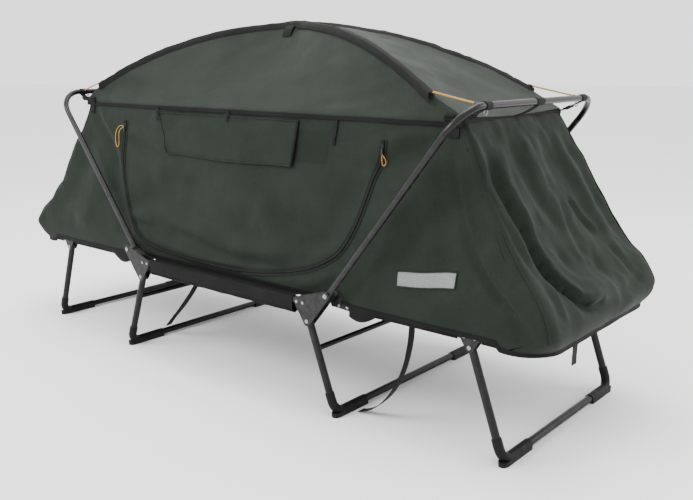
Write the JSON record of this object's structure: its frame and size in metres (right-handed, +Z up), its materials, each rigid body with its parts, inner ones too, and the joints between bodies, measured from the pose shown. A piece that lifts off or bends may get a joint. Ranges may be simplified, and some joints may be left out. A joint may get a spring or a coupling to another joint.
{
  "type": "folding tent cot",
  "caption": "Folding bed frame on splayed U-shaped legs, with two hinged bows that hold up a low arched fabric tent with a zipped door and window flap.",
  "frame": {"origin": "on the ground, under the middle of the bed", "axes": "+X along the bed towards its right end as seen from the front, +Y from the front side to the back side, +Z up"},
  "size_m": [2.21, 0.7686, 1.105],
  "materials": {
    "black_tube": "satin black powder coat on round steel tube",
    "pressed_plate": "black powder-coated pressed steel",
    "fastener_steel": "dull zinc-plated rivets and pins",
    "foot_plastic": "matt black moulded polymer",
    "bed_fabric": "black heavy polyester weave",
    "tent_fabric": "dark olive green coated polyester, fine weave",
    "window_mesh": "fine insect mesh",
    "black_webbing": "black woven webbing and zip tape",
    "slider_metal": "dark zip slider",
    "yellow_elastic": "yellow braided elastic cord",
    "pole_fibreglass": "black fibreglass rod",
    "patch": "blank light grey sewn patch"
  },
  "bodies": {
    "centre_frame": {"centre_rails": "black_tube", "outer_bracket_plates": "pressed_plate", "inner_bracket_plates": "pressed_plate", "main_pivot_pins": "fastener_steel", "mid_leg_pivot_pins": "fastener_steel", "bracket_rivets": "fastener_steel", "pin_spacers": "fastener_steel", "centre_sling": "bed_fabric", "front_wall": "tent_fabric", "back_wall": "tent_fabric", "front_zip": "black_webbing", "back_zip": "black_webbing", "front_zip_sliders": "slider_metal", "back_zip_sliders": "slider_metal", "left_leg_strap": "black_webbing"},
    "canopy": {"centre_fly": "tent_fabric", "centre_roof_poles": "pole_fibreglass"},
    "door_front": {"front_door": "tent_fabric", "front_window_mesh": "window_mesh"},
    "flap_front": {"front_window_flap": "tent_fabric"},
    "door_back": {"back_door": "tent_fabric", "back_window_mesh": "window_mesh"},
    "flap_back": {"back_window_flap": "tent_fabric"},
    "left_end": {"left_end_rail": "black_tube", "left_hinge_lugs": "pressed_plate", "left_leg_brackets": "pressed_plate", "left_end_fasteners": "fastener_steel", "left_sling": "bed_fabric", "left_tent_end": "tent_fabric", "left_fly_end": "tent_fabric", "left_roof_poles": "pole_fibreglass"},
    "right_end": {"right_end_rail": "black_tube", "right_hinge_lugs": "pressed_plate", "right_leg_brackets": "pressed_plate", "right_end_fasteners": "fastener_steel", "right_sling": "bed_fabric", "right_tent_end": "tent_fabric", "right_fly_end": "tent_fabric", "right_roof_poles": "pole_fibreglass", "plain_patch": "patch", "right_leg_strap": "black_webbing", "end_hem_tab": "black_webbing"},
    "left_end_leg": {"left_end_leg_frame": "black_tube", "left_end_feet": "foot_plastic"},
    "right_end_leg": {"right_end_leg_frame": "black_tube", "right_end_feet": "foot_plastic"},
    "left_mid_leg": {"left_mid_leg_frame": "black_tube", "left_mid_feet": "foot_plastic"},
    "right_mid_leg": {"right_mid_leg_frame": "black_tube", "right_mid_feet": "foot_plastic"},
    "left_bow": {"left_tent_bow": "black_tube", "left_bow_collars": "black_webbing", "left_front_tension_cord": "yellow_elastic", "left_back_tension_cord": "yellow_elastic"},
    "right_bow": {"right_tent_bow": "black_tube", "right_bow_collars": "black_webbing", "right_front_tension_cord": "yellow_elastic", "right_back_tension_cord": "yellow_elastic"}
  },
  "joints": [
    {"name": "left_end_fold", "type": "hinge", "parent": "centre_frame", "child": "left_end", "pos_m": [-0.4567, 0, 0.356], "axis": [0, 1, 0], "range_deg": [0, 177.4], "deforming": ["front_wall", "back_wall", "front_zip", "back_zip", "front_zip_sliders", "back_zip_sliders", "left_leg_strap", "centre_fly", "centre_roof_poles", "front_door", "front_window_mesh", "front_window_flap", "back_door", "back_window_mesh", "back_window_flap", "left_tent_end", "left_fly_end", "left_roof_poles", "right_tent_end", "right_fly_end", "right_roof_poles", "plain_patch", "right_leg_strap", "end_hem_tab", "left_front_tension_cord", "left_back_tension_cord", "right_front_tension_cord", "right_back_tension_cord"]},
    {"name": "right_end_fold", "type": "hinge", "parent": "centre_frame", "child": "right_end", "pos_m": [0.4567, 0, 0.356], "axis": [0, -1, 0], "range_deg": [0, 158]},
    {"name": "left_end_leg_fold", "type": "hinge", "parent": "left_end", "child": "left_end_leg", "pos_m": [-0.8955, 0, 0.295], "axis": [0, -1, 0], "range_deg": [0, 106]},
    {"name": "right_end_leg_fold", "type": "hinge", "parent": "right_end", "child": "right_end_leg", "pos_m": [0.8955, 0, 0.295], "axis": [0, 1, 0], "range_deg": [0, 106]},
    {"name": "left_mid_leg_fold", "type": "hinge", "parent": "centre_frame", "child": "left_mid_leg", "pos_m": [-0.387, 0, 0.27], "axis": [0, -1, 0], "range_deg": [0, 106]},
    {"name": "right_mid_leg_fold", "type": "hinge", "parent": "centre_frame", "child": "right_mid_leg", "pos_m": [0.387, 0, 0.27], "axis": [0, 1, 0], "range_deg": [0, 106]},
    {"name": "left_bow_fold", "type": "hinge", "parent": "centre_frame", "child": "left_bow", "pos_m": [-0.4567, 0, 0.356], "axis": [0, 1, 0], "range_deg": [0, 129.19]},
    {"name": "right_bow_fold", "type": "hinge", "parent": "centre_frame", "child": "right_bow", "pos_m": [0.4567, 0, 0.356], "axis": [0, -1, 0], "range_deg": [0, 107]},
    {"name": "canopy_drop", "type": "slide", "parent": "centre_frame", "child": "canopy", "axis": [0, 0, -1], "range_m": [0, 0.448]},
    {"name": "front_door_lift", "type": "hinge", "parent": "canopy", "child": "door_front", "pos_m": [0, -0.26681, 0.798], "axis": [-1, 0, 0], "range_deg": [0, 100]},
    {"name": "back_door_lift", "type": "hinge", "parent": "canopy", "child": "door_back", "pos_m": [0, 0.26681, 0.798], "axis": [1, 0, 0], "range_deg": [0, 100]},
    {"name": "front_flap_lift", "type": "hinge", "parent": "door_front", "child": "flap_front", "pos_m": [0, -0.2676, 0.822], "axis": [-1, 0, 0], "range_deg": [0, 100]},
    {"name": "back_flap_lift", "type": "hinge", "parent": "door_back", "child": "flap_back", "pos_m": [0, 0.2676, 0.822], "axis": [1, 0, 0], "range_deg": [0, 100]}
  ],
  "couplings": [
    {"joint": "right_end_fold", "follows": "left_end_fold", "ratio": 0.89063},
    {"joint": "left_end_leg_fold", "follows": "left_end_fold", "ratio": 0.59751},
    {"joint": "right_end_leg_fold", "follows": "left_end_fold", "ratio": 0.59751},
    {"joint": "left_mid_leg_fold", "follows": "left_end_fold", "ratio": 0.59751},
    {"joint": "right_mid_leg_fold", "follows": "left_end_fold", "ratio": 0.59751},
    {"joint": "left_bow_fold", "follows": "left_end_fold", "ratio": 0.72823},
    {"joint": "right_bow_fold", "follows": "left_end_fold", "ratio": 0.60315},
    {"joint": "canopy_drop", "follows": "left_end_fold", "m_per_rad": 0.14469}
  ]
}
